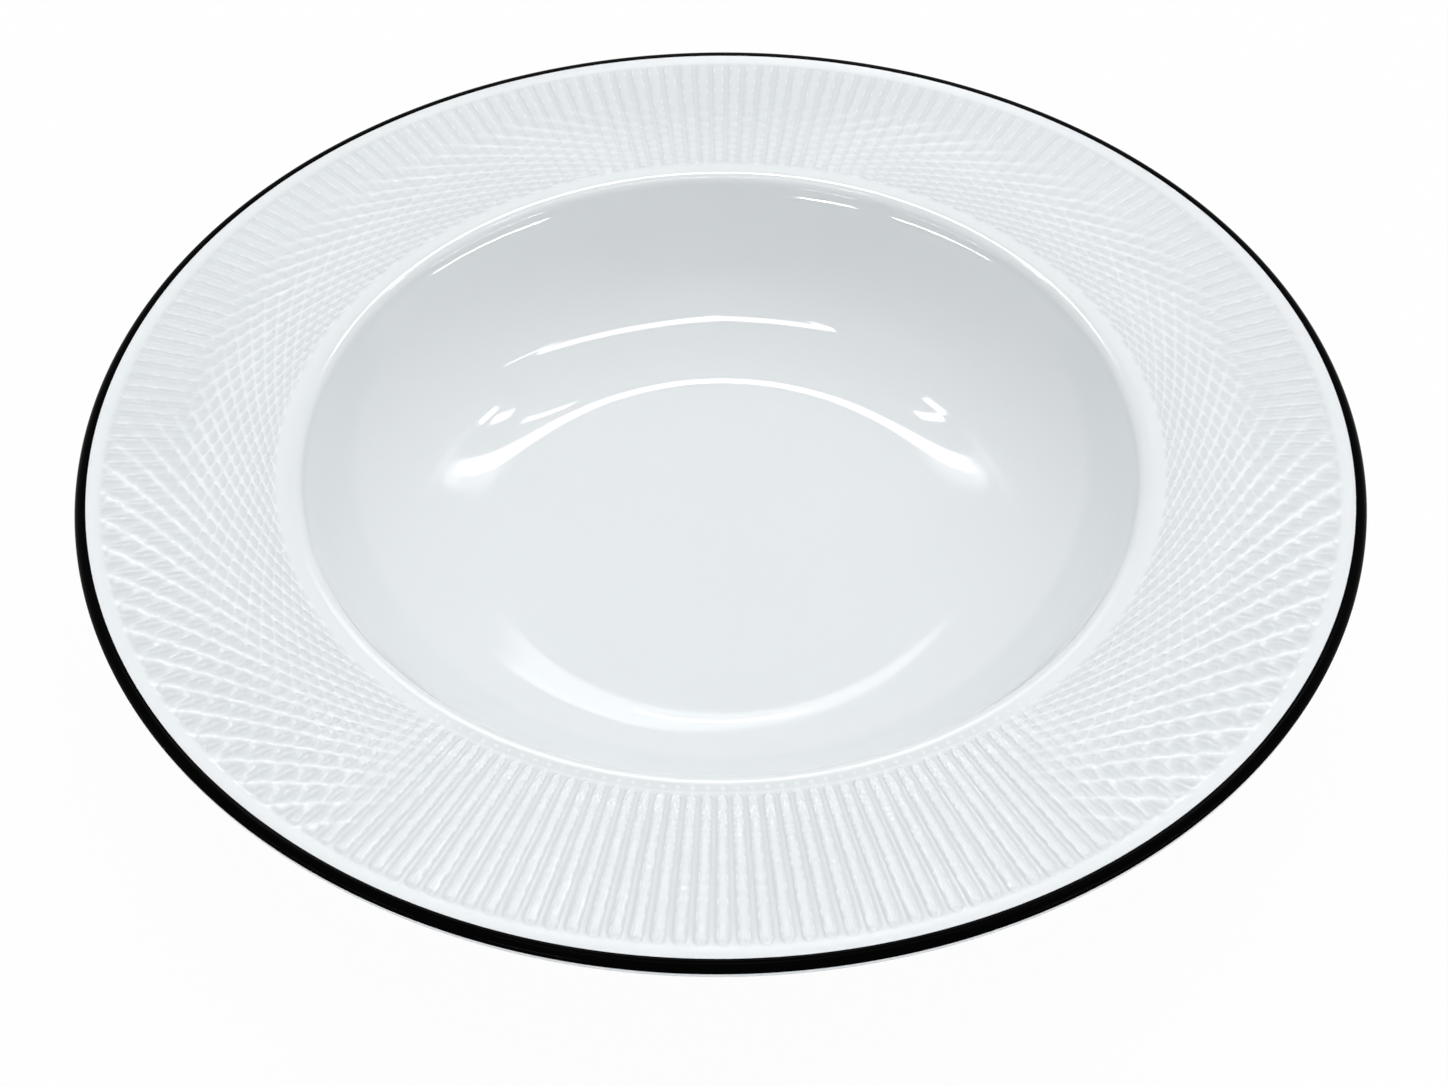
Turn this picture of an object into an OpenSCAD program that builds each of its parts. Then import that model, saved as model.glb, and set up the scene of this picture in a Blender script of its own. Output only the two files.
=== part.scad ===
// Rimmed soup plate in glazed porcelain, with a ribbed rim and an edge line.
// Millimetres, +Z up. The origin is on the table, under the middle of the plate.

/* [Rim] */
// Diameter of the plate over its edge line
plate_d = 240; // [220:1:280]
// Slope of the rim, rising outwards, in degrees
rim_slope = 2; // [0:0.5:8]
// Thickness of the rim over the bowl's crest
rim_t = 3.9; // [3.2:0.1:5]
// Radius of the upper rounding of the lip
lip_r = 1.7; // [1.2:0.1:2]
// Radius of the lower rounding of the lip
lip_under_r = 1.1; // [0.8:0.1:1.4]

/* [Bowl] */
// Diameter of the bowl at its crest
bowl_d = 160.8; // [150:0.2:176]
// Depth of the floor below the crest
bowl_depth = 25.5; // [23:0.5:34]
// Angle of the bowl's wall from level, in degrees
wall_angle = 68; // [60:1:76]
// Radius of the round that joins the floor to the wall
bowl_round = 36; // [24:1:38]
// Radius of the crest, where the bowl turns out into the rim
crest_r = 2.4; // [1.4:0.1:3]
// Thickness of the bowl's wall and floor
wall_t = 3.8; // [3:0.1:5]
// Radius of the hollow between the rim and the wall, underneath
shoulder_r = 5; // [3:0.5:7]

/* [Foot ring] */
// Diameter of the foot ring, at the middle of its ground face
foot_d = 108; // [96:1:116]
// Height of the foot ring, from the table to the recess inside it
foot_h = 3; // [2.4:0.1:5]
// Width of the ground face
foot_w = 2.6; // [1.8:0.1:4]
// Draft of the foot ring's sides, in degrees
foot_draft = 12; // [4:1:20]
// Radius of the foot ring's edges
foot_edge_r = 0.8; // [0.5:0.1:1]
// Radius of the hollows where the foot ring meets the bowl
foot_root_r = 1.4; // [0.8:0.1:2]

/* [Ribs] */
// Number of ribs round the rim
rib_count = 204; // [160:4:220]
// Height of a rib above the rim
rib_h = 0.42; // [0.3:0.02:0.5]
// Clear rim between the crest and the ribs
rib_inner_gap = 3.8; // [3.4:0.1:6]
// Clear rim between the ribs and the lip
rib_outer_gap = 3; // [1:0.1:8]

/* [Coats] */
// Thickness of the clear glaze
glaze_t = 0.3; // [0.2:0.02:0.4]
// Thickness of the edge line over the glaze
line_t = 0.12; // [0.08:0.01:0.2]
// How far the edge line wraps round the lip, in degrees from its top
line_wrap = 78; // [40:1:88]
// Height of the foot ring that is wiped clean of glaze
wiped_h = 1.2; // [0.6:0.1:1.8]

/* [Hidden] */

// Overrun of a cut past the face that it opens
cut_over = 1;
// How far a curve may cut inside its true round, and the sides of a full turn
curve_tol = 0.015;
turn_sides = 144;
// Depth of the ribs' seat in the glaze
rib_seat = glaze_t / 2;
// Points nearer than this are one point
same_point = 0.001;
// Share of its pitch that a rib fills, at the rim's surface
rib_fill_share = 0.5;

// Levels of the inside, from the table up
floor_z = foot_h + wall_t;
crest_z = floor_z + bowl_depth;

// The crest turns from the wall's angle to the rim's slope
crest_c = [bowl_d / 2, crest_z - crest_r];
wall_top = crest_c + crest_r * facing(wall_angle);
rim_start = crest_c + crest_r * facing(rim_slope);

// The floor's round, no larger than the wall has room for
round_r = min(bowl_round, (wall_top.y - floor_z) / (1 - cos(wall_angle)));
round_c = meet([0, floor_z], 0, round_r, wall_top, wall_angle, round_r);

// The lip stands at the end of the rim's slope
lip_d = plate_d - 2 * line_t;
lip_x = lip_d / 2 - lip_r;
lip_c = [lip_x, rim_z(lip_x) - lip_r / cos(rim_slope)];
lip_under_c = [lip_d / 2 - lip_under_r, lip_c.y];

// The underside of the rim touches the lip's lower rounding, and passes rim_t below the crest
under_start = [crest_c.x, crest_z - rim_t];
under_run = lip_under_c - under_start;
under_slope = atan(under_run.y / under_run.x) - asin(lip_under_r / norm(under_run));

// The hollow under it touches the round of the bowl's outside, or the straight wall above that
outer_r = round_r + wall_t;
shoulder_start = lip_under_c - (lip_under_r + shoulder_r) * facing(under_slope);
shoulder_on_round = approach(shoulder_start, facing(under_slope + 90), round_c, outer_r + shoulder_r);
shoulder_run = shoulder_on_round - round_c;
shoulder_angle = min(wall_angle, atan(-shoulder_run.x / shoulder_run.y));
shoulder_c = shoulder_angle < wall_angle ? shoulder_on_round : meet(
    shoulder_start, under_slope, 0,
    wall_top, wall_angle, -wall_t - shoulder_r);

// Direction that faces up, turned inwards by an angle
function facing(a) = [-sin(a), cos(a)];

// Height of the rim's slope at a distance from the axis
function rim_z(x) = rim_start.y + (x - rim_start.x) * tan(rim_slope);

// Point that lies d above the line through p at angle a, and d2 above the one through p2 at a2
function meet(p, a, d, p2, a2, d2) =
    let (e = p * facing(a) + d, e2 = p2 * facing(a2) + d2, k = sin(a2 - a))
    [(e * cos(a2) - e2 * cos(a)) / k, (e * sin(a2) - e2 * sin(a)) / k];

// Point where the way from p along a unit direction first comes within reach of c
function approach(p, along, c, reach) =
    let (away = p - c, back = away * along)
    p - (back + sqrt(back * back - away * away + reach * reach)) * along;

// Arc about c, whose points face up and are turned inwards by the angles from a0 to a1
function arc(c, r, a0, a1) =
    let (step = 2 * acos(1 - curve_tol / abs(r)), n = max(1, ceil(abs(a1 - a0) / step)))
    [for (i = [0 : n]) c + r * facing(a0 + (a1 - a0) * i / n)];

// Part of the lip's rounding that the edge line covers
function line_arc(r) = arc(lip_c, r, rim_slope, -line_wrap);

// Upper side of the plate, from the axis to the outermost point of the lip, sunk by s
function upper_side(s) = concat(
    [[0, floor_z - s]],
    arc(round_c, -round_r - s, 0, wall_angle),
    arc(crest_c, crest_r - s, wall_angle, rim_slope),
    line_arc(lip_r - s),
    arc(lip_c, lip_r - s, -line_wrap, -90)
);

// Centres of the foot ring's edges, for a foot ring whose sides are sunk by s
function foot_outer_c(s) = [foot_d / 2 + foot_w / 2, foot_edge_r - s];
function foot_inner_c(s) = [foot_d / 2 - foot_w / 2, foot_edge_r - s];

// Centre of the hollow outside the foot ring, which touches its side and the bowl's underside
function outer_root_c(s) = approach(
    foot_outer_c(s) - (foot_edge_r + foot_root_r) * facing(90 - foot_draft),
    facing(-foot_draft), round_c, outer_r + foot_root_r);

// Centre of the hollow inside the foot ring, which touches its side and the recess
function inner_root_c(s) = meet(foot_inner_c(s), foot_draft - 90, -foot_edge_r - foot_root_r,
    [0, foot_h - foot_root_r], 0, 0);

// Underside of the plate, from the outermost point of the lip to the axis, sunk by s
function under_side(s) =
    let (root_c = outer_root_c(s), root_run = root_c - round_c,
        root_angle = atan(-root_run.x / root_run.y))
    concat(
        arc(lip_under_c, lip_under_r - s, -90, under_slope - 180),
        arc(shoulder_c, shoulder_r + s, under_slope, shoulder_angle),
        arc(round_c, s - outer_r, shoulder_angle, root_angle),
        arc(root_c, foot_root_r + s, root_angle, 90 - foot_draft),
        arc(foot_outer_c(s), s - foot_edge_r, 90 - foot_draft, 0),
        arc(foot_inner_c(s), s - foot_edge_r, 0, foot_draft - 90),
        arc(inner_root_c(s), foot_root_r + s, foot_draft - 90, 0),
        [[0, foot_h + s]]
    );

// Outline without the points that two of its arcs share
function once(points) = [for (i = [0 : len(points) - 1])
    if (i == 0 || norm(points[i] - points[i - 1]) > same_point) points[i]];

// Half section of the plate without its ribs, with every face but the ground face sunk by s
module outline(s) {
    polygon(once(concat(upper_side(s), under_side(s))));
}

// A rib fills the same share of its pitch all along, so its width follows the radius
rib_half_share = rib_fill_share * PI / rib_count;
rib_start_x = (bowl_d / 2 + rib_inner_gap) / (1 - rib_half_share);
rib_end_x = (lip_x - rib_outer_gap) / (1 + rib_half_share);
// Section of a rib, from one foot over its crest to the other
rib_side_shares = [-1, -0.45, 0.45, 1];
rib_rise_shares = [0, 1, 1, 0];
// How far the rounded ends reach past the full section, and how full they still are there
rib_tip_share = 0.9;
rib_tip_fill_share = 0.42;

// Points of the rib's section, reach half widths past x, with a share of its width and height
function rib_section(x, reach_share, fill_share) =
    let (half = rib_half_share * x, at = x + reach_share * half)
    [for (i = [0 : len(rib_side_shares) - 1])
        [at, rib_side_shares[i] * fill_share * half,
            rim_z(at) - rib_seat + rib_rise_shares[i] * (rib_seat + fill_share * rib_h)]];

// One rib with rounded ends, seated in the glaze
module rib() {
    loft([
        rib_section(rib_start_x, -rib_tip_share, rib_tip_fill_share),
        rib_section(rib_start_x, 0, 1),
        rib_section(rib_end_x, 0, 1),
        rib_section(rib_end_x, rib_tip_share, rib_tip_fill_share)
    ]);
}

// Closed solid through sections that have as many points each
module loft(sections) {
    n = len(sections[0]);
    last = (len(sections) - 1) * n;
    polyhedron(
        points = [for (section = sections) each section],
        faces = concat(
            [[for (i = [n - 1 : -1 : 0]) i]],
            [for (k = [0 : len(sections) - 2], i = [0 : n - 1])
                [k * n + i, k * n + (i + 1) % n, (k + 1) * n + (i + 1) % n, (k + 1) * n + i]],
            [[for (i = [0 : n - 1]) last + i]]
        )
    );
}

// Fired clay under the coats, bare at the foot ring's ground face
module porcelain_body() {
    color("linen")
        rotate_extrude($fn = turn_sides)
            outline(glaze_t);
}

// Clear white glaze with the ribs' relief, wiped off the bottom of the foot ring
module glaze_coat() {
    color("white")
        union() {
            rotate_extrude($fn = turn_sides)
                difference() {
                    outline(0);
                    outline(glaze_t);
                    translate([0, -cut_over])
                        square([plate_d / 2, cut_over + wiped_h]);
                }
            for (i = [0 : rib_count - 1])
                rotate(i * 360 / rib_count)
                    rib();
        }
}

// Black line painted over the lip
module edge_line() {
    outer = line_arc(lip_r + line_t);
    inner = line_arc(lip_r);
    color("black")
        rotate_extrude($fn = turn_sides)
            polygon(concat(outer, [for (i = [len(inner) - 1 : -1 : 0]) inner[i]]));
}

porcelain_body();
glaze_coat();
edge_line();
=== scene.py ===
import math

import bmesh
import bpy
import numpy as np
from mathutils import Matrix, Vector


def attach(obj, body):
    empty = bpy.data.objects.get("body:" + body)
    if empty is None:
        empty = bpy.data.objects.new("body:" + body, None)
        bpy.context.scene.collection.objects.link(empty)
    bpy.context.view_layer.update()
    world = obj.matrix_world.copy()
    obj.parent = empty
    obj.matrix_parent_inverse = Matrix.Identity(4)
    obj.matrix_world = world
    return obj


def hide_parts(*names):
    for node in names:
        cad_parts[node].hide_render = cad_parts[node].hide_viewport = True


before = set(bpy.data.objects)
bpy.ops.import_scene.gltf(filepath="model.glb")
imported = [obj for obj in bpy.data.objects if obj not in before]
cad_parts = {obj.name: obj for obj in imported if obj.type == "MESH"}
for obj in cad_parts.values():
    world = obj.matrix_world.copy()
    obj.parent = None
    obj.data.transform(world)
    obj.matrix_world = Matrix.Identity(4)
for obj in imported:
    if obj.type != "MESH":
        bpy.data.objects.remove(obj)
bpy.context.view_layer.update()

# The section is drawn in millimetres, and the finished meshes are brought to metres
mm = 0.001

plate = {
    "width": 240.0,  # over the edge line
    "rimSlope": 2.0,  # degrees, rising outwards
    "rimThick": 3.9,
    "lipRound": 1.7,
    "lipUnderRound": 1.1,
    "bowlWidth": 160.8,
    "bowlDepth": 25.5,
    "wallAngle": 68.0,
    "bowlRound": 36.0,  # the bowl's outside and upper wall
    "floorEase": 46.0,  # slacker round where the floor begins to rise
    "easeStart": 40.35,  # radius of the flat floor
    "easeAngle": 25.0,  # slope at which the slack round ends
    "wallSlope": 60.0,  # most of the wall, which steepens just under the crest
    "throatRound": 14.0,
    "crestSlopes": (12.0, 8.6, 6.4),  # slacker rounds near the top of the crest, between these slopes
    "crestSlack": (5.0, 14.0),  # their radii
    "crestRound": 2.4,
    "wallThick": 3.8,
    "shoulderRound": 5.0,
    "footWidth": 108.0,
    "footHeight": 3.0,
    "footFace": 2.6,
    "footDraft": 12.0,
    "footEdge": 0.8,
    "footRoot": 1.4,
    "glazeThick": 0.3,
    "lineThick": 0.12,
    "lineWrap": 78.0,  # degrees round the lip, from its top
    "glazeStops": 1.2,  # height of the foot that is wiped clean
    "turnSteps": 408,
    "repeats": 24,  # equal parts of the turn, of which one is made and then copied
}


def facing(angle):
    a = math.radians(angle)
    return Vector((-math.sin(a), math.cos(a)))


def meet(p, angle, lift, p2, angle2, lift2):
    # point lift above the line through p at angle, and lift2 above the one through p2
    e = p.dot(facing(angle)) + lift
    e2 = p2.dot(facing(angle2)) + lift2
    a, a2 = math.radians(angle), math.radians(angle2)
    k = math.sin(a2 - a)
    x = (e * math.cos(a2) - e2 * math.cos(a)) / k
    return Vector((x, (e * math.sin(a2) - e2 * math.sin(a)) / k))


def approach(p, along, centre, reach):
    # where the way from p along a direction first comes within reach of centre
    away = p - centre
    back = away.dot(along)
    return p - (back + math.sqrt(back * back - away.dot(away) + reach * reach)) * along


def layOut():
    # centres and levels of the section, from the sizes above
    p = plate
    s = {}
    s["floor"] = p["footHeight"] + p["wallThick"]
    s["crestTop"] = s["floor"] + p["bowlDepth"]
    s["crest"] = Vector((p["bowlWidth"] / 2, s["crestTop"] - p["crestRound"]))
    s["wallTop"] = s["crest"] + p["crestRound"] * facing(p["wallAngle"])
    s["rimStart"] = s["crest"] + p["crestRound"] * facing(p["rimSlope"])
    s["roundR"] = p["bowlRound"]
    s["round"] = meet(Vector((0, s["floor"])), 0, s["roundR"], s["wallTop"], p["wallAngle"], s["roundR"])
    # inside, the floor rises on a slacker round, then on a tighter one that runs into the wall
    bend, ease = math.radians(p["wallSlope"]), math.radians(p["easeAngle"])
    throat = p["throatRound"]
    s["throat"] = s["wallTop"] + throat * facing(p["wallAngle"])
    foot = s["throat"] - throat * facing(p["wallSlope"])
    # the wall's straight part and the tighter round fill what the slack round leaves
    rise = foot.y - s["floor"] - p["floorEase"] * (1 - math.cos(ease))
    run = foot.x - p["easeStart"] - p["floorEase"] * math.sin(ease)
    across, upwards = math.sin(bend) - math.sin(ease), math.cos(ease) - math.cos(bend)
    s["wallR"] = run * math.sin(bend) - rise * math.cos(bend)
    s["wallR"] /= across * math.sin(bend) - upwards * math.cos(bend)
    length = (run - s["wallR"] * across) / math.cos(bend)
    s["wallRound"] = foot - length * facing(p["wallSlope"] - 90) + s["wallR"] * facing(p["wallSlope"])
    s["ease"] = Vector((p["easeStart"], s["floor"] + p["floorEase"]))
    # the crest's rounds meet the rim's slope, and the first of them has the radius that this takes
    steep, middle, flat = p["crestSlopes"]
    slack, slackest = p["crestSlack"]
    arcs = [(steep, middle, slack), (middle, flat, slackest), (flat, p["rimSlope"], p["crestRound"])]
    slope = math.tan(math.radians(p["rimSlope"]))
    gap = s["rimStart"] - s["wallTop"]
    for a, b, r in arcs:
        gap -= r * (facing(b) - facing(a))
    reach = facing(steep) - facing(p["wallAngle"])
    first = (gap.y - gap.x * slope) / (reach.y - reach.x * slope)
    s["crestArcs"] = []
    tip = s["wallTop"]
    for a, b, r in [(p["wallAngle"], steep, first)] + arcs:
        s["crestArcs"].append((tip - r * facing(a), a - b))
        tip = tip + r * (facing(b) - facing(a))
    s["lipWidth"] = p["width"] - 2 * p["lineThick"]
    s["lipX"] = s["lipWidth"] / 2 - p["lipRound"]
    drop = p["lipRound"] / math.cos(math.radians(p["rimSlope"]))
    s["lip"] = Vector((s["lipX"], rimLevel(s, s["lipX"]) - drop))
    s["lipUnder"] = Vector((s["lipWidth"] / 2 - p["lipUnderRound"], s["lip"].y))
    start = Vector((s["crest"].x, s["crestTop"] - p["rimThick"]))
    run = s["lipUnder"] - start
    s["underSlope"] = math.degrees(math.atan(run.y / run.x) - math.asin(p["lipUnderRound"] / run.length))
    s["outerR"] = s["roundR"] + p["wallThick"]
    begin = s["lipUnder"] - (p["lipUnderRound"] + p["shoulderRound"]) * facing(s["underSlope"])
    s["shoulder"] = approach(begin, facing(s["underSlope"] + 90), s["round"], s["outerR"] + p["shoulderRound"])
    away = s["shoulder"] - s["round"]
    s["shoulderAngle"] = math.degrees(math.atan(-away.x / away.y))
    s["footOuter"] = Vector((p["footWidth"] / 2 + p["footFace"] / 2, p["footEdge"]))
    s["footInner"] = Vector((p["footWidth"] / 2 - p["footFace"] / 2, p["footEdge"]))
    s["rootOuter"] = approach(
        s["footOuter"] - (p["footEdge"] + p["footRoot"]) * facing(90 - p["footDraft"]),
        facing(-p["footDraft"]), s["round"], s["outerR"] + p["footRoot"])
    away = s["rootOuter"] - s["round"]
    s["rootAngle"] = math.degrees(math.atan(-away.x / away.y))
    s["rootInner"] = meet(
        s["footInner"], p["footDraft"] - 90, -p["footEdge"] - p["footRoot"],
        Vector((0, p["footHeight"] - p["footRoot"])), 0, 0)
    return s


def rimLevel(s, x):
    return s["rimStart"].y + (x - s["rimStart"].x) * math.tan(math.radians(plate["rimSlope"]))


section = layOut()


def startWire(x, z):
    bm = bmesh.new()
    return bm, bm.verts.new((x, 0, z))


def lineTo(bm, tip, x, z, steps=1):
    start, end = tip.co.copy(), Vector((x, 0, z))
    for i in range(steps):
        tip = bmesh.ops.extrude_vert_indiv(bm, verts=[tip])["verts"][0]
        tip.co = start.lerp(end, (i + 1) / steps)
    return tip


def arcRound(bm, tip, centre, turn, steps):
    # a positive turn swings from the top of the round outwards
    made = bmesh.ops.spin(
        bm, geom=[tip], cent=(centre.x, 0, centre.y), axis=(0, 1, 0),
        angle=math.radians(turn), steps=steps, use_duplicate=False)
    return [g for g in made["geom_last"] if isinstance(g, bmesh.types.BMVert)][0]


def turnRound(bm, steps, repeats, angle=2 * math.pi):
    # the wire turns about the plate's axis through one of the repeats, which is then copied round
    bmesh.ops.spin(
        bm, geom=bm.verts[:] + bm.edges[:], cent=(0, 0, 0), axis=(0, 0, 1),
        angle=angle / repeats, steps=steps // repeats, use_duplicate=False)
    bmesh.ops.spin(
        bm, geom=bm.verts[:] + bm.edges[:] + bm.faces[:], cent=(0, 0, 0), axis=(0, 0, 1),
        angle=angle * (repeats - 1) / repeats, steps=repeats - 1, use_duplicate=True)
    bmesh.ops.remove_doubles(bm, verts=bm.verts[:], dist=0.0005)


def toObject(bm, name, sharpAngle=50):
    bmesh.ops.recalc_face_normals(bm, faces=bm.faces[:])
    bmesh.ops.scale(bm, vec=(mm, mm, mm), verts=bm.verts[:])
    mesh = bpy.data.meshes.new(name)
    bm.to_mesh(mesh)
    bm.free()
    mesh.shade_smooth()
    mesh.set_sharp_from_angle(angle=math.radians(sharpAngle))
    piece = bpy.data.objects.new(name, mesh)
    bpy.context.scene.collection.objects.link(piece)
    print("made", name, len(mesh.vertices), "points")
    return piece


class Sock:
    def __init__(self, shop, socket):
        self.shop, self.socket = shop, socket

    def math(self, operation, other, swap=False):
        return self.shop.math(operation, *((other, self) if swap else (self, other)))

    def __add__(self, other):
        return self.math("ADD", other)

    __radd__ = __add__

    def __sub__(self, other):
        return self.math("SUBTRACT", other)

    def __rsub__(self, other):
        return self.math("SUBTRACT", other, True)

    def __mul__(self, other):
        return self.math("MULTIPLY", other)

    __rmul__ = __mul__

    def __truediv__(self, other):
        return self.math("DIVIDE", other)

    def __pow__(self, other):
        return self.math("POWER", other)


class Shop:
    # the node tree of one material, or of the world
    def __init__(self, name="", tree=None):
        self.material = None
        if tree is None:
            self.material = bpy.data.materials.new(name)
            self.material.use_nodes = True
        self.tree = tree or self.material.node_tree
        self.tree.nodes.clear()

    def node(self, kind, settings=None, sockets=None, out=0):
        made = self.tree.nodes.new(kind)
        for key, value in (settings or {}).items():
            setattr(made, key, value)
        for key, value in (sockets or {}).items():
            if isinstance(value, Sock):
                self.tree.links.new(value.socket, made.inputs[key])
            else:
                made.inputs[key].default_value = value
        return Sock(self, made.outputs[out]) if made.outputs else None

    def math(self, operation, value, other=0.0):
        return self.node("ShaderNodeMath", {"operation": operation}, {0: value, 1: other})

    def step(self, value, low, high, start=1.0, end=0.0):
        # runs smoothly from start to end as the value goes from low to high
        return self.node(
            "ShaderNodeMapRange", {"interpolation_type": "SMOOTHSTEP"},
            {"Value": value, "From Min": low, "From Max": high, "To Min": start, "To Max": end})

    def noise(self, place, scale, detail, roughness=0.5):
        return self.node(
            "ShaderNodeTexNoise", {"noise_dimensions": "3D"},
            {"Vector": place, "Scale": scale, "Detail": detail, "Roughness": roughness})

    def mix(self, amount, colour, other):
        # all colour at 0 and all the other at 1
        return self.node("ShaderNodeMix", {"data_type": "RGBA"}, {0: amount, 6: colour, 7: other}, out=2)

    def rays(self):
        # the camera's rays, and those of the gloss and of what is seen through glass
        path = self.node("ShaderNodeLightPath").socket.node.outputs
        camera, glossy, through = (
            Sock(self, path[name]) for name in ("Is Camera Ray", "Is Glossy Ray", "Is Transmission Ray"))
        return camera, self.math("MAXIMUM", glossy, through)

    def finish(self, surface):
        self.node("ShaderNodeOutputMaterial", {}, {"Surface": surface})
        return self.material


def grey(value):
    return (value, value, value, 1)


glaze = {
    "colour": (0.785, 0.815, 0.829, 1),
    "thinAndHighlight": (0.93, 0.955, 0.975, 1),  # lighter: where the glaze runs thin, and for painted highlights and painted light
    "pooledAndShaded": (0.61, 0.643, 0.664, 1),  # darker: where the glaze lies thick in the grooves, and for painted shade
    "roughness": 0.04,
    "reliefRoughness": 0.2,  # the fine relief scatters the shine
    "dust": 0.02,  # how far the roughness wanders
    "wave": 0.012,  # the glaze's slow unevenness, in millimetres
    "waveScale": 38.0,
    "clouding": 0.12,  # how far its colour wanders with it
    "pinholes": 0.0015,  # and its fine one
    "pinholeScale": 420.0,
    "speckScale": 640.0,  # the specks that break the fine lines into dashes
    "grain": 0.003,  # the fine beading along the ribs, in millimetres
    "lineRise": 0.035,  # the fine lines of the relief, in millimetres
    "lineHighlight": 0.8,  # how much lighter they are painted: painted glints and thinner glaze
}

# Fine lines of the relief, in the glaze's shader, painted lighter as highlights and glints
lines = {
    "netSeat": 0.07,  # value of a cell's field at which its outline lies, and how wide that is
    "netWidth": 0.11,
    "netWeight": 1.4,
    "strandSharp": 26,
    "strandWeight": 1.5,
    "hookLean": 2.6,
    "hookSharp": 4,
    "hookFade": (0.2, 0.3),  # shares of the pitch, from a rib's crest, over which they fade out
    "sideWidth": (0.05, 0.25),
    "sideDashes": 1.7,  # along a bead
    "ribWeight": 2.4,  # strength of the lines on and round the plain ribs
    "breaks": (0.4, 0.58),  # range of the specks over which a line fades in
    "breakShare": 0.25,  # what is left of it in a break
    "grainBeads": 2.2,  # fine beads of the shine, along a bead
}


def makeGlaze(relieved):
    shop = Shop("whiteGlazeRelief" if relieved else "whiteGlaze")
    place = shop.node("ShaderNodeTexCoord", out="Object")

    def value(name):
        return shop.node("ShaderNodeAttribute", {"attribute_name": name}, out="Fac")

    cloud = shop.noise(place, glaze["waveScale"], 2.0)
    fine = shop.noise(place, glaze["pinholeScale"], 1.0, 0.4)
    amount = value("poolAndPaintedLight") + (cloud - 0.5) * glaze["clouding"]
    height = cloud * glaze["wave"] + fine * glaze["pinholes"]
    if relieved:
        # fine lines run round the beads and the ribs, broken into dashes, and painted lighter: painted highlights
        # and glints, with thinner glaze on them
        q = lines

        def wave(phase, start, share):
            return shop.math("COSINE", phase * (2 * math.pi)) * share + start

        def near(distance, start, end):
            return shop.step(shop.math("ABSOLUTE", distance), start, end)

        beads, half, aside = value("beads"), value("turn") * 0.5, value("aside")
        speck = shop.noise(place, glaze["speckScale"], 1.0)
        cells = wave(beads + half, 0.5, -0.5) ** value("one") * wave(beads - half, 0.5, -0.5) ** value("two")
        net = near(cells - q["netSeat"], 0.0, q["netWidth"]) * value("net")
        strandOne = wave(beads + half, 0.5, 0.5) ** q["strandSharp"] * value("strandOne")
        strandTwo = wave(beads - half, 0.5, 0.5) ** q["strandSharp"] * value("strandTwo")
        hooks = wave(beads * 0.5 - aside * q["hookLean"] + speck * 0.3, 0.5, 0.5) ** q["hookSharp"]
        hooks = hooks * shop.step(aside, *q["hookFade"]) * value("hooks")
        sides = near(value("outline"), *q["sideWidth"])
        sides = sides * wave(beads * q["sideDashes"] + speck * 1.5, 0.6, 0.4) * value("rim")
        drawn = net * q["netWeight"] + (strandOne + strandTwo) * q["strandWeight"] + (hooks + sides) * q["ribWeight"]
        drawn = drawn * shop.step(speck, *q["breaks"], q["breakShare"], 1.0)
        amount = amount - drawn * glaze["lineHighlight"]
        # a fine beading breaks up the shine along the ribs
        grain = wave(beads * q["grainBeads"] + speck * 1.6, 0.0, 1.0) * value("grain")
        height = height + drawn * glaze["lineRise"] + grain * glaze["grain"]
    # the colour carries painted shade where the glaze pools, and painted highlights and light where it is thin
    pooledAndShadedColour = shop.mix(amount, glaze["colour"], glaze["pooledAndShaded"])
    colour = shop.mix(0 - amount, pooledAndShadedColour, glaze["thinAndHighlight"])
    roughness = glaze["reliefRoughness" if relieved else "roughness"] + (cloud - 0.5) * glaze["dust"]
    bump = shop.node("ShaderNodeBump", {}, {"Strength": 1.0, "Distance": mm, "Height": height})
    surface = shop.node(
        "ShaderNodeBsdfPrincipled", {},
        {"Base Color": colour, "Roughness": roughness, "Normal": bump, "IOR": 1.52})
    return shop.finish(surface)


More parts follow.
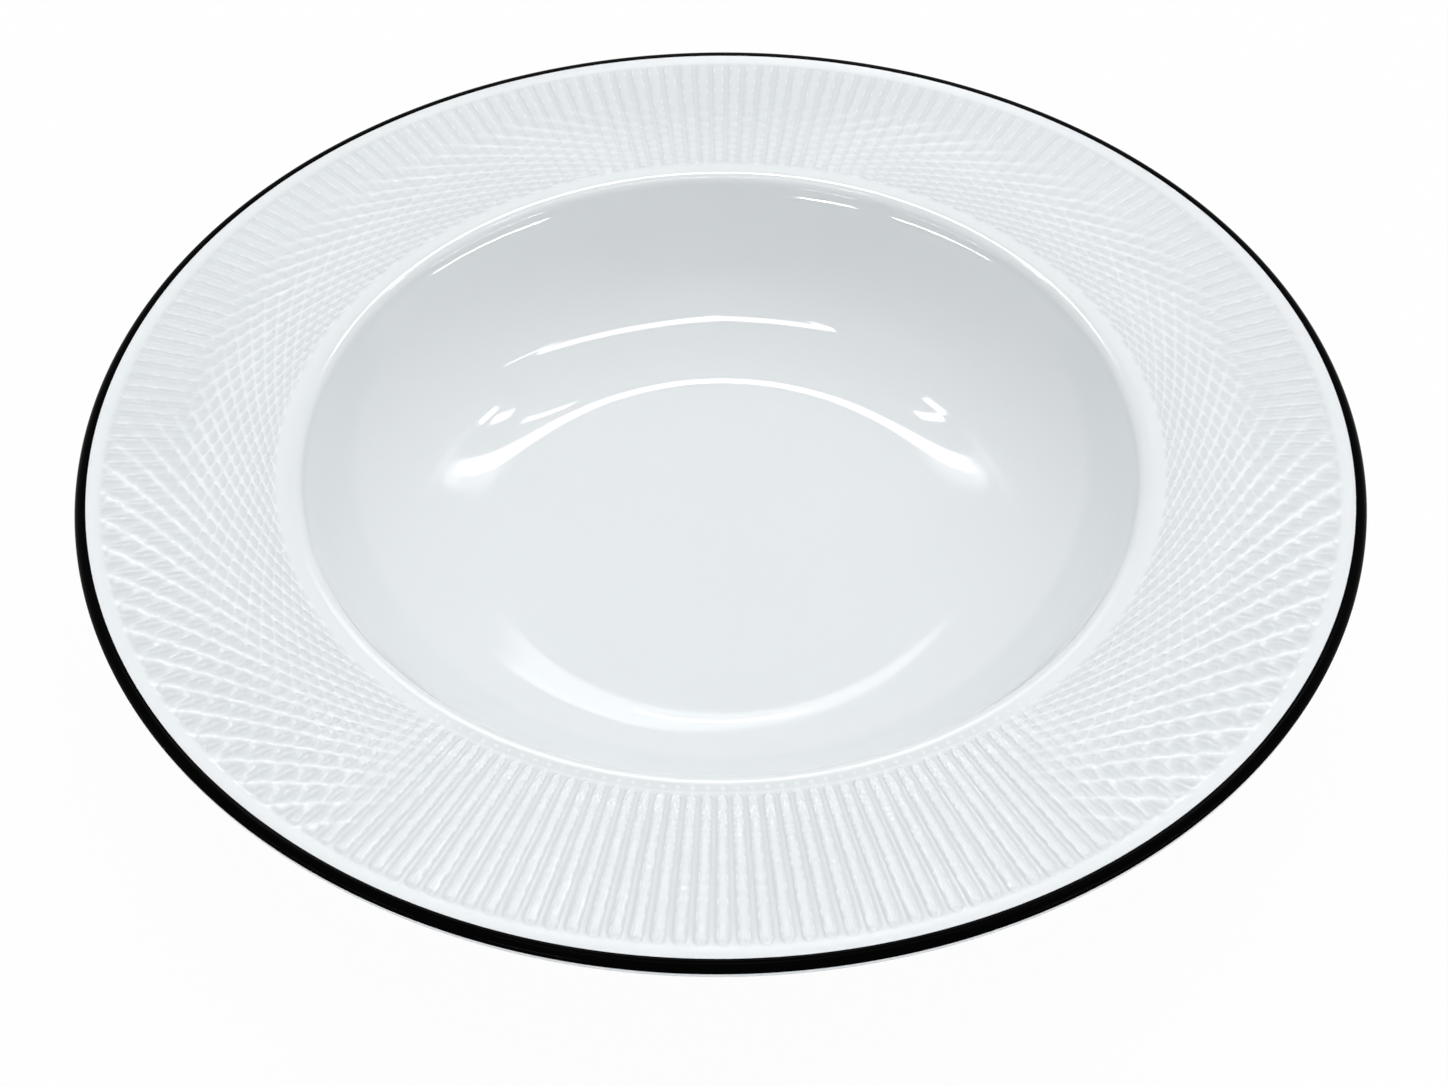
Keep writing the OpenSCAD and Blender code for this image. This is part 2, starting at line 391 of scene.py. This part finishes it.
def makeGlazeShell():
    p, s = plate, section
    bm, tip = startWire(0, s["floor"])
    tip = lineTo(bm, tip, s["ease"].x, s["floor"], 8)
    tip = arcRound(bm, tip, s["ease"], -p["easeAngle"], 18)
    tip = arcRound(bm, tip, s["wallRound"], p["easeAngle"] - p["wallSlope"], 20)
    foot = s["throat"] - p["throatRound"] * facing(p["wallSlope"])
    tip = lineTo(bm, tip, foot.x, foot.y, 3)
    tip = arcRound(bm, tip, s["throat"], p["wallSlope"] - p["wallAngle"], 5)
    for (centre, turn), steps in zip(s["crestArcs"], (12, 4, 4, 3)):
        tip = arcRound(bm, tip, centre, turn, steps)
    # under the relief the plain rim lies a hair lower
    r0, r1, sink = relief["inner"], relief["outer"], 0.02
    tip = lineTo(bm, tip, r0, rimLevel(s, r0), 2)
    tip = lineTo(bm, tip, r0 + 0.002, rimLevel(s, r0) - sink)
    tip = lineTo(bm, tip, r1 - 0.002, rimLevel(s, r1) - sink, 6)
    tip = lineTo(bm, tip, r1, rimLevel(s, r1))
    tip = lineTo(bm, tip, s["lip"].x - math.sin(math.radians(p["rimSlope"])) * p["lipRound"],
                 s["lip"].y + math.cos(math.radians(p["rimSlope"])) * p["lipRound"], 4)
    tip = arcRound(bm, tip, s["lip"], p["rimSlope"] + 90, 12)
    tip = arcRound(bm, tip, s["lipUnder"], 90 - s["underSlope"], 8)
    end = s["shoulder"] + p["shoulderRound"] * facing(s["underSlope"])
    tip = lineTo(bm, tip, end.x, end.y, 5)
    tip = arcRound(bm, tip, s["shoulder"], s["underSlope"] - s["shoulderAngle"], 8)
    tip = arcRound(bm, tip, s["round"], s["shoulderAngle"] - s["rootAngle"], 18)
    tip = arcRound(bm, tip, s["rootOuter"], s["rootAngle"] - 90 + p["footDraft"], 7)
    # the wiped edge of the glaze, then across inside the foot
    lean = math.tan(math.radians(p["footDraft"]))
    side = s["footOuter"] + p["footEdge"] * -facing(90 - p["footDraft"])
    stop = Vector((side.x + (p["glazeStops"] - side.y) * lean, p["glazeStops"]))
    tip = lineTo(bm, tip, stop.x, stop.y + 0.1)
    tip = lineTo(bm, tip, stop.x - 0.05, stop.y)
    side2 = s["footInner"] + p["footEdge"] * -facing(p["footDraft"] - 90)
    stop2 = Vector((side2.x - (p["glazeStops"] - side2.y) * lean, p["glazeStops"]))
    tip = lineTo(bm, tip, stop2.x + 0.05, stop2.y)
    tip = lineTo(bm, tip, stop2.x, stop2.y + 0.1)
    root = s["rootInner"] + p["footRoot"] * facing(p["footDraft"] - 90)
    tip = lineTo(bm, tip, root.x, root.y)
    tip = arcRound(bm, tip, s["rootInner"], p["footDraft"] - 90, 7)
    tip = lineTo(bm, tip, 0, p["footHeight"], 6)
    turnRound(bm, p["turnSteps"], p["repeats"])
    piece = toObject(bm, "glazeShell")
    co = readPoints(piece.data)
    r = np.hypot(co[:, 0], co[:, 1])
    setValues(piece.data, "poolAndPaintedLight", np.where(co[:, 2] > s["lip"].y, -lipLightening(r), 0))
    return piece


def readPoints(mesh):
    co = np.zeros(len(mesh.vertices) * 3)
    mesh.vertices.foreach_get("co", co)
    return co.reshape(-1, 3) / mm


def setValues(mesh, name, values):
    mesh.attributes.new(name, "FLOAT", "POINT").data.foreach_set("value", values.astype(np.float32))


def lipLightening(r):
    # the rim is painted lighter towards the lip
    return 0.44 * smoothStep(r, 114.9, 117.3)


def smoothStep(x, a, b):
    t = np.clip((x - a) / (b - a), 0, 1)
    return t * t * (3 - 2 * t)


relief = {
    "inner": 80.9,  # radii of the zone that the relief pieces cover
    "outer": 116.4,
    "ribs": 204,
    "ribInner": 83.2,  # where the ribs begin and end
    "ribOuter": 115.2,
    "height": 0.42,
    "samples": 12,  # round the plate, over one rib
    "rows": 118,  # along a rib
    "growth": 2.0,  # how much longer the outermost row is than the innermost
    "beadStart": 1.5,  # length of the innermost bead
    "beadGrowth": 19.0,  # in this length the beads grow e-fold
    "ribShare": (1.0, 0.35),  # how high the ribs stand where they run plain, and where the beading crosses them
    "backShare": 0.55,  # how high they stand at the back
    "beadHeight": 0.5,
    "beadSharp": 3.2,
    "beadTone": 0.85,  # how far the beads stand out of the grooves' painted shade
    # degrees from the back of the plate, over which the relief changes
    "backClear": (8, 30),  # the beading sets in beside the middle of the back
    "backEnds": (78, 98),
    "sideEnds": (136, 150),
    "frontBegins": (120, 150),
    "evenAt": 82,  # the two families of diagonal lines are even here
    # radii over which it changes
    "backFade": (98, 109),  # the back's beading fades out
    "lead": (94, 105),  # one family takes the lead
    "crestFade": (88, 108),  # the crests' notches grow shallow
    "ring": (80.9, 81.3, 82.4, 83.0),  # a darker ring painted inside the ribs, at the front only
    "crestBead": 0.14,
    "dotRadius": 81.8,  # small dots inside the ribs
    "dotHeight": 0.1,
    "dotSize": 0.6,
    "poolAndShadeDepth": 0.74,
    "ringDepth": 0.48,
    "dotDepth": 0.7,  # how much lighter the dots are painted
    "outlineShare": 0.26,  # half width of a rib's outline, as a share of the pitch
}


def reliefShape(r, angle):
    # height above the plain rim, and the values that the glaze's shader reads, at a radius and an angle
    q = relief
    turn = angle * q["ribs"] / (2 * math.pi)
    u = turn - np.floor(turn + 0.5)  # 0 on a rib's crest, half at a groove's middle
    fromBack = np.abs((np.degrees(angle) - 90 + 180) % 360 - 180)
    # the beading is worked over the sides and the inner rim, and the front is left plain
    notBack = smoothStep(fromBack, *q["backEnds"])
    side = notBack * (1 - smoothStep(fromBack, *q["sideEnds"]))
    back = (1 - notBack) * (0.3 + 0.7 * smoothStep(fromBack, *q["backClear"]))
    beaded = side + back * (1 - smoothStep(r, *q["backFade"]))
    plain = 1 - beaded
    front = smoothStep(fromBack, *q["frontBegins"])
    # one of the two diagonal families leads, and more so towards the lip
    outer = smoothStep(r, *q["lead"])
    lean = -1.6 * np.sign(np.cos(angle)) * np.sin(np.radians(2 * (fromBack - q["evenAt"])))
    lean = np.clip(lean, -1, 1) * smoothStep(fromBack, 0, 20)
    oneShare = np.clip(0.75 + 0.25 * lean - 0.6 * outer * (1 - lean), 0.04, 1)
    twoShare = np.clip(0.75 - 0.25 * lean - 0.6 * outer * (1 + lean), 0.04, 1)
    beads = q["beadGrowth"] / q["beadStart"] * (1 - np.exp(-(r - q["ribInner"]) / q["beadGrowth"]))

    def ridge(phase, sharp=1):
        return (0.5 + 0.5 * np.cos(2 * math.pi * phase)) ** sharp

    full = smoothStep(ridge(u), 0.0, 0.8)
    full *= 1 - q["crestBead"] * (0.4 + 0.6 * (1 - smoothStep(r, *q["crestFade"]))) * ridge(2 * beads)
    onPlain, onBeaded = q["ribShare"]
    rib = full * (onBeaded * beaded + onPlain * plain * (q["backShare"] + (1 - q["backShare"]) * front))
    one = ridge(beads + 0.5 * turn, q["beadSharp"]) * beaded * oneShare
    two = ridge(beads - 0.5 * turn, q["beadSharp"]) * beaded * twoShare
    body = 1 - (1 - rib) * (1 - q["beadHeight"] * one) * (1 - q["beadHeight"] * two)
    # painted shade: tone marks how far a place stands out of the grooves' painted shade, and the plain ribs are
    # painted lighter at the front
    tone = full * (0.2 * beaded + (0.35 + 0.2 * front) * plain)
    tone = 1 - (1 - tone) * (1 - q["beadTone"] * one) * (1 - q["beadTone"] * two)
    # rounded ends
    pitch = 2 * math.pi * r / q["ribs"]
    aside = u * pitch
    half = 0.5 * pitch
    bulge = half - np.sqrt(np.maximum(half ** 2 - aside ** 2, 0))
    start = smoothStep(r - bulge, q["ribInner"] - 0.1, q["ribInner"] + 0.75)
    stop = 1 - smoothStep(r + bulge, q["ribOuter"] - 0.9, q["ribOuter"] + 0.1)
    height = q["height"] * body * start * stop
    dot = 1 - smoothStep(np.sqrt((r - q["dotRadius"]) ** 2 + aside ** 2) / q["dotSize"], 0.0, 1.0)
    height += q["dotHeight"] * dot * front
    ring = smoothStep(r, *q["ring"][:2]) * (1 - smoothStep(r, *q["ring"][2:]))
    inside = smoothStep(r, q["ribInner"] - 0.6, q["ribInner"] + 0.6)
    inside = inside * (1 - smoothStep(r, q["ribOuter"] - 0.6, q["ribOuter"] + 0.4))
    # distance from the outline of a rib, whose ends are long arches
    wide = q["outlineShare"] * pitch
    past = np.maximum(q["ribInner"] + 1.5 - r, 0) / 1.3 + np.maximum(r - q["ribOuter"] + 1.3, 0) / 1.1
    outline = np.sqrt(aside ** 2 + (past * wide) ** 2) - wide
    nearInner = 1 - smoothStep(r, q["ribInner"] + 2, q["ribInner"] + 9)
    # painted shade and light in the glaze's colour: grooves darker as pooled glaze and painted shade, the front and
    # the plain ribs lighter for the light that falls there
    poolAndPaintedLight = inside * (q["poolAndShadeDepth"] * (1 - tone) * (1 + 0.12 * front) - 0.06 * plain - 0.16 * front)
    poolAndPaintedLight += (q["ringDepth"] * ring - q["dotDepth"] * dot) * plain * front - lipLightening(r)
    # painted highlights: the strands, net, hooks and outlines are weighted where the light catches the relief, the
    # hooks and outlines most at the front
    strand = (0.3 * beaded + 0.7 * side) * inside * outer
    values = {
        "poolAndPaintedLight": poolAndPaintedLight,
        "turn": turn,
        "aside": np.abs(u),
        "beads": beads,
        "one": np.clip(0.75 + 0.3 * lean, 0.1, 1),
        "two": np.clip(0.75 - 0.3 * lean, 0.1, 1),
        "net": (0.5 * beaded + 0.5 * side) * inside * (1 - 0.8 * outer),
        "strandOne": strand * oneShare,
        "strandTwo": strand * twoShare,
        "outline": outline,
        "hooks": (0.1 + 0.9 * nearInner) * plain * front * inside,
        "grain": plain * inside,
        "rim": (0.5 + 0.9 * nearInner * front) * plain,
    }
    return height, values


def makeRelief(quarter):
    q, s = relief, section
    bm, first = startWire(q["inner"], rimLevel(s, q["inner"]))
    tip = first
    share = q["growth"] ** (1 / (q["rows"] - 1))
    steps = [share ** i for i in range(q["rows"])]
    stretch = (q["outer"] - q["inner"]) / sum(steps)
    x = q["inner"]
    for step in steps:
        x += step * stretch
        tip = lineTo(bm, tip, x, rimLevel(s, x))
    depth = 0.25
    tip = lineTo(bm, tip, q["outer"], rimLevel(s, q["outer"]) - depth)
    tip = lineTo(bm, tip, q["inner"], rimLevel(s, q["inner"]) - depth)
    bmesh.ops.contextual_create(bm, geom=[tip, first])
    # the section turns a quarter round, from one groove's middle to another's
    ribs = q["ribs"] // 4
    start = Matrix.Rotation(math.pi / q["ribs"] + quarter * math.pi / 2, 3, "Z")
    bmesh.ops.rotate(bm, verts=bm.verts[:], cent=(0, 0, 0), matrix=start)
    turnRound(bm, ribs * q["samples"], ribs, math.pi / 2)
    bmesh.ops.holes_fill(bm, edges=bm.edges[:], sides=0)
    piece = toObject(bm, "rimRelief%d" % quarter, 60)
    mesh = piece.data
    co = readPoints(mesh)
    r = np.hypot(co[:, 0], co[:, 1])
    # the angle runs on through the quarter without a jump
    least = math.pi / q["ribs"] + quarter * math.pi / 2 - 0.01
    angle = (np.arctan2(co[:, 1], co[:, 0]) - least) % (2 * math.pi) + least
    top = co[:, 2] > rimLevel(s, r) - depth / 2
    height, values = reliefShape(r, angle)
    co[:, 2] += np.where(top, height, 0)
    mesh.vertices.foreach_set("co", (co * mm).ravel())
    for name, value in values.items():
        setValues(mesh, name, np.where(top, value, 0))
    mesh.update()
    mesh.set_sharp_from_angle(angle=math.radians(75))
    return piece


edgeLine = {
    "colour": (0.0003, 0.0003, 0.0004, 1),
    "paleColour": (0.0008, 0.0008, 0.001, 1),
    "roughness": 0.12,
    "gloss": 0.012,  # the enamel reflects far less than the glaze
    "feather": 3.0,  # degrees over which its edges thin out
    "seat": 0.06,  # depth of its inner side in the glaze
    "inset": 0.4,  # how far it reaches in from the lip's rounding
    "taper": 0.12,  # width of its slanting inner edge
    "turnSteps": 576,
}


def makeLineMaterial():
    shop = Shop("blackEnamel")
    place = shop.node("ShaderNodeTexCoord", out="Object")
    cloud = shop.noise(place, 90.0, 3.0)
    colour = shop.mix(cloud, edgeLine["colour"], edgeLine["paleColour"])
    bump = shop.node("ShaderNodeBump", {}, {"Strength": 0.12, "Distance": 0.0003, "Height": cloud})
    surface = shop.node(
        "ShaderNodeBsdfPrincipled", {},
        {"Base Color": colour, "Roughness": cloud * 0.06 + (edgeLine["roughness"] - 0.03), "Normal": bump,
         "Specular IOR Level": edgeLine["gloss"]})
    return shop.finish(surface)


def makeEdgeLine():
    p, s, e = plate, section, edgeLine
    outer = p["lipRound"] + p["lineThick"]
    inner = p["lipRound"] - e["seat"]
    first, last = p["rimSlope"], -p["lineWrap"]
    begin = s["lip"] + inner * facing(first) - e["inset"] * facing(first - 90)
    bm, tip = startWire(begin.x, begin.y)
    a = s["lip"] + outer * facing(first) - (e["inset"] - e["taper"]) * facing(first - 90)
    tip = lineTo(bm, tip, a.x, a.y)
    a = s["lip"] + outer * facing(first)
    tip = lineTo(bm, tip, a.x, a.y, 2)
    tip = arcRound(bm, tip, s["lip"], first - last - e["feather"], 18)
    b = s["lip"] + inner * facing(last)
    tip = lineTo(bm, tip, b.x, b.y)
    tip = arcRound(bm, tip, s["lip"], last - first, 10)
    lineTo(bm, tip, begin.x, begin.y)
    turnRound(bm, e["turnSteps"], p["repeats"])
    return toObject(bm, "edgeLine", 40)


bareFoot = {
    "colour": (0.74, 0.7, 0.62, 1),
    "paleColour": (0.83, 0.8, 0.74, 1),
    "roughness": 0.6,
    "grainScale": 900.0,
    "cloudScale": 60.0,
    "underGlaze": 0.5,  # how far it reaches up under the glaze
}


def makeBisque():
    shop = Shop("bisque")
    place = shop.node("ShaderNodeTexCoord", out="Object")
    grain = shop.noise(place, bareFoot["grainScale"], 3.0)
    cloud = shop.noise(place, bareFoot["cloudScale"], 2.0)
    colour = shop.mix(cloud, bareFoot["colour"], bareFoot["paleColour"])
    bump = shop.node("ShaderNodeBump", {}, {"Strength": 0.5, "Distance": 0.0001, "Height": grain})
    surface = shop.node(
        "ShaderNodeBsdfPrincipled", {},
        {"Base Color": colour, "Roughness": grain * 0.2 + bareFoot["roughness"], "Normal": bump})
    return shop.finish(surface)


def makeFoot():
    p, s = plate, section
    t = p["glazeThick"]
    bm, tip = startWire(s["footInner"].x, 0)
    tip = lineTo(bm, tip, s["footOuter"].x, 0, 3)
    r = p["footEdge"] - t
    centre = Vector((s["footOuter"].x, r))
    tip = arcRound(bm, tip, centre, -(90 - p["footDraft"]), 6)
    lean = math.tan(math.radians(p["footDraft"]))
    top = p["glazeStops"] + bareFoot["underGlaze"]
    tip = lineTo(bm, tip, tip.co.x + (top - tip.co.z) * lean, top, 2)
    tip = lineTo(bm, tip, 2 * (s["footOuter"].x - p["footFace"] / 2) - tip.co.x, top, 3)
    centre = Vector((s["footInner"].x, r))
    edge = centre + r * -facing(p["footDraft"] - 90)
    tip = lineTo(bm, tip, edge.x, edge.y, 2)
    tip = arcRound(bm, tip, centre, -(90 - p["footDraft"]), 6)
    bmesh.ops.remove_doubles(bm, verts=bm.verts[:], dist=0.0005)
    turnRound(bm, p["turnSteps"], p["repeats"])
    return toObject(bm, "footRing")


glazes = makeGlaze(False), makeGlaze(True)
shell = makeGlazeShell()
quarters = [makeRelief(i) for i in range(4)]
for piece in [shell] + quarters:
    piece.data.materials.append(glazes[piece is not shell])
    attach(piece, "root")
    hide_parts("glaze_coat")

line = makeEdgeLine()
line.data.materials.append(makeLineMaterial())
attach(line, "root")
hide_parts("edge_line")

foot = makeFoot()
foot.data.materials.append(makeBisque())
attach(foot, "root")
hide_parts("porcelain_body")
print("plate assembled")


view = {
    "place": (0.00057, -0.4009, 0.4298),
    "pitch": 46.577,  # degrees below level
    "roll": -0.35,
    "focal": 74.78,
    "sensor": 36.0,
}


def makeCamera():
    data = bpy.data.cameras.new("view")
    data.sensor_fit = "HORIZONTAL"
    data.sensor_width = view["sensor"]
    data.lens = view["focal"]
    data.clip_start = 0.01
    data.clip_end = 20
    camera = bpy.data.objects.new("view", data)
    bpy.context.scene.collection.objects.link(camera)
    camera.rotation_mode = "XYZ"
    # roll first, about the view's own axis, then the pitch
    camera.rotation_euler = (math.radians(90 - view["pitch"]), 0, 0)
    camera.rotation_euler.rotate_axis("Z", math.radians(view["roll"]))
    camera.location = view["place"]
    bpy.context.scene.camera = camera


makeCamera()


room = {
    "floorSize": 3.0,
    "floorColour": (0.86, 0.86, 0.87, 1),
    "shadowShare": 0.04,  # how much of the lit floor shows in the camera's white
    "zenith": 0.455,  # strength of the sky overhead and at the horizon
    "horizon": 0.67,
    "skyColour": (0.985, 0.992, 1.0, 1),
    "gloss": 1.0,  # strength of what the gloss sees
    "lowest": 0.05,  # light panels show only in directions that rise by more than this
}


def makeFloor():
    bm = bmesh.new()
    bmesh.ops.create_grid(bm, x_segments=2, y_segments=2, size=room["floorSize"])
    mesh = bpy.data.meshes.new("floor")
    bm.to_mesh(mesh)
    bm.free()
    floor = bpy.data.objects.new("floor", mesh)
    bpy.context.scene.collection.objects.link(floor)
    shop = Shop("paleFloor")
    # the gloss and what is seen through glass meet the same white as the camera
    seen = shop.math("MAXIMUM", *shop.rays())
    lit = shop.node("ShaderNodeBsdfDiffuse", {}, {"Color": room["floorColour"]})
    glow = shop.node("ShaderNodeEmission", {}, {"Color": grey(1.0), "Strength": 1.0})
    mixed = shop.node("ShaderNodeMixShader", {}, {0: seen * (1 - room["shadowShare"]), 1: lit, 2: glow})
    mesh.materials.append(shop.finish(mixed))


# Light panels on a ceiling one unit above the plate, where the photograph's reflections put its lights: the middle
# across and away, the half sizes, the turn in degrees, the softness of the edges and the strength
panels = {
    "bar": ((0.045, 0.713), (0.4, 0.033), 0, (0.26, 0.02), 18.0),
    "barGlowLeft": ((-0.3, 0.775), (0.17, 0.035), 0, (0.08, 0.06), 2.2),
    "barGlowRight": ((0.38, 0.78), (0.2, 0.035), 0, (0.08, 0.06), 2.2),
    "leftPane": ((-0.34, 0.523), (0.065, 0.016), 17, (0.006, 0.006), 16.0),
    "leftLeaf": ((-0.406, 0.448), (0.022, 0.04), 30, (0.006, 0.006), 16.0),
    "rightPane": ((0.39, 0.492), (0.04, 0.022), 8, (0.006, 0.006), 16.0),
    "rightLeaf": ((0.475, 0.467), (0.019, 0.04), -29, (0.006, 0.006), 16.0),
    "thread": ((0.198, 0.583), (0.065, 0.01), -17, (0.006, 0.006), 14.0),
    "topLeft": ((-0.125, -0.005), (0.155, 0.021), -8, (0.01, 0.01), 12.0),
    "topRight": ((0.24, 0.035), (0.245, 0.023), 14, (0.02, 0.01), 12.0),
    "topEnd": ((-0.248, -0.014), (0.01, 0.034), 35, (0.006, 0.006), 12.0),
    "topSpur": ((0.53, 0.09), (0.11, 0.009), 30, (0.006, 0.006), 9.0),
    "haze": ((-0.54, 0.04), (0.2, 0.03), -29, (0.1, 0.05), 0.8),
    "endLeft": ((-0.46, 0.74), (0.08, 0.05), 20, (0.14, 0.12), 1.9),
    "endRight": ((0.55, 0.74), (0.08, 0.05), -20, (0.14, 0.12), 1.9),
    "sideLeft": ((-0.59, 0.78), (0.03, 0.25), 24, (0.04, 0.3), 0.9),
    "sideRight": ((0.65, 0.75), (0.03, 0.28), -25, (0.04, 0.3), 0.9),
    "window": ((0.089, 1.52), (0.165, 0.39), -22.3, (0.12, 0.08), 2.3),
    "windowStrip": ((0.0, 1.37), (0.045, 0.032), 0, (0.04, 0.02), 5.0),
}
# low panels, which only the gloss sees
kickers = {
    "lowLeft": ((8.6, -3.2), (5.4, 0.22), 0, (0.3, 0.1), 45.0),
    "lowMiddle": ((-1.7, -3.2), (0.48, 0.16), 0, (0.2, 0.1), 45.0),
    "lowRight": ((-6.5, -3.2), (3.2, 0.16), 0, (0.3, 0.1), 45.0),
}


def makeWorld():
    world = bpy.data.worlds.new("studio")
    bpy.context.scene.world = world
    world.use_nodes = True
    shop = Shop(tree=world.node_tree)
    split = shop.node("ShaderNodeSeparateXYZ", {}, {0: shop.node("ShaderNodeTexCoord", out="Generated")})
    across, away, rise = [Sock(shop, out) for out in split.socket.node.outputs]
    above = shop.math("GREATER_THAN", rise, room["lowest"])
    over = shop.math("MAXIMUM", rise, room["lowest"])
    x, y = across / over, away / over
    camera, white = shop.rays()
    shine = 0.0
    for name, (place, half, turn, soft, strength) in {**panels, **kickers}.items():
        c, d = math.cos(math.radians(turn)), math.sin(math.radians(turn))
        x0, y0 = place
        mask = above
        offs = x * c + y * d - (x0 * c + y0 * d), y * c - x * d - (y0 * c - x0 * d)
        for off, size, blur in zip(offs, half, soft):
            mask = mask * shop.step(shop.math("ABSOLUTE", off), size - blur / 2, size + blur / 2)
        if name in kickers:
            mask = mask * white
        shine = mask * strength + shine
    # the camera and the gloss see the white backdrop, and all else a sky
    dome = above * rise * (room["zenith"] - room["horizon"]) + room["horizon"]
    light = dome + white * (room["gloss"] - dome) + shine
    soft = shop.node("ShaderNodeBackground", {}, {"Color": room["skyColour"], "Strength": light})
    plain = shop.node("ShaderNodeBackground", {}, {"Color": grey(1.0), "Strength": 1.0})
    mixed = shop.node("ShaderNodeMixShader", {}, {0: camera, 1: soft, 2: plain})
    shop.node("ShaderNodeOutputWorld", {}, {"Surface": mixed})


lamps = {
    "rearRight": {"place": (0.9, 1.3, 1.1), "aim": (0, 0, 0.02), "size": (0.7, 0.7), "power": 2.0},
    "rearLeft": {"place": (-0.9, 1.3, 1.1), "aim": (0, 0, 0.02), "size": (0.7, 0.7), "power": 1.5},
    "right": {"place": (1.6, 0.2, 1.1), "aim": (0, 0, 0.02), "size": (0.7, 0.7), "power": 1.7},
    "front": {"place": (-0.2, -1.5, 1.1), "aim": (0, 0, 0.02), "size": (0.9, 0.9), "power": 3.2},
}


def makeLamps():
    for name, lamp in lamps.items():
        data = bpy.data.lights.new(name, "AREA")
        data.shape = "RECTANGLE"
        data.size, data.size_y = lamp["size"]
        data.energy = lamp["power"]
        made = bpy.data.objects.new(name, data)
        bpy.context.scene.collection.objects.link(made)
        made.location = lamp["place"]
        aim = Vector(lamp["aim"]) - Vector(lamp["place"])
        made.rotation_euler = aim.to_track_quat("-Z", "Y").to_euler()
        made.visible_glossy = False


makeFloor()
makeWorld()
makeLamps()
bpy.context.scene.view_settings.view_transform = "Standard"
print("scene lit")
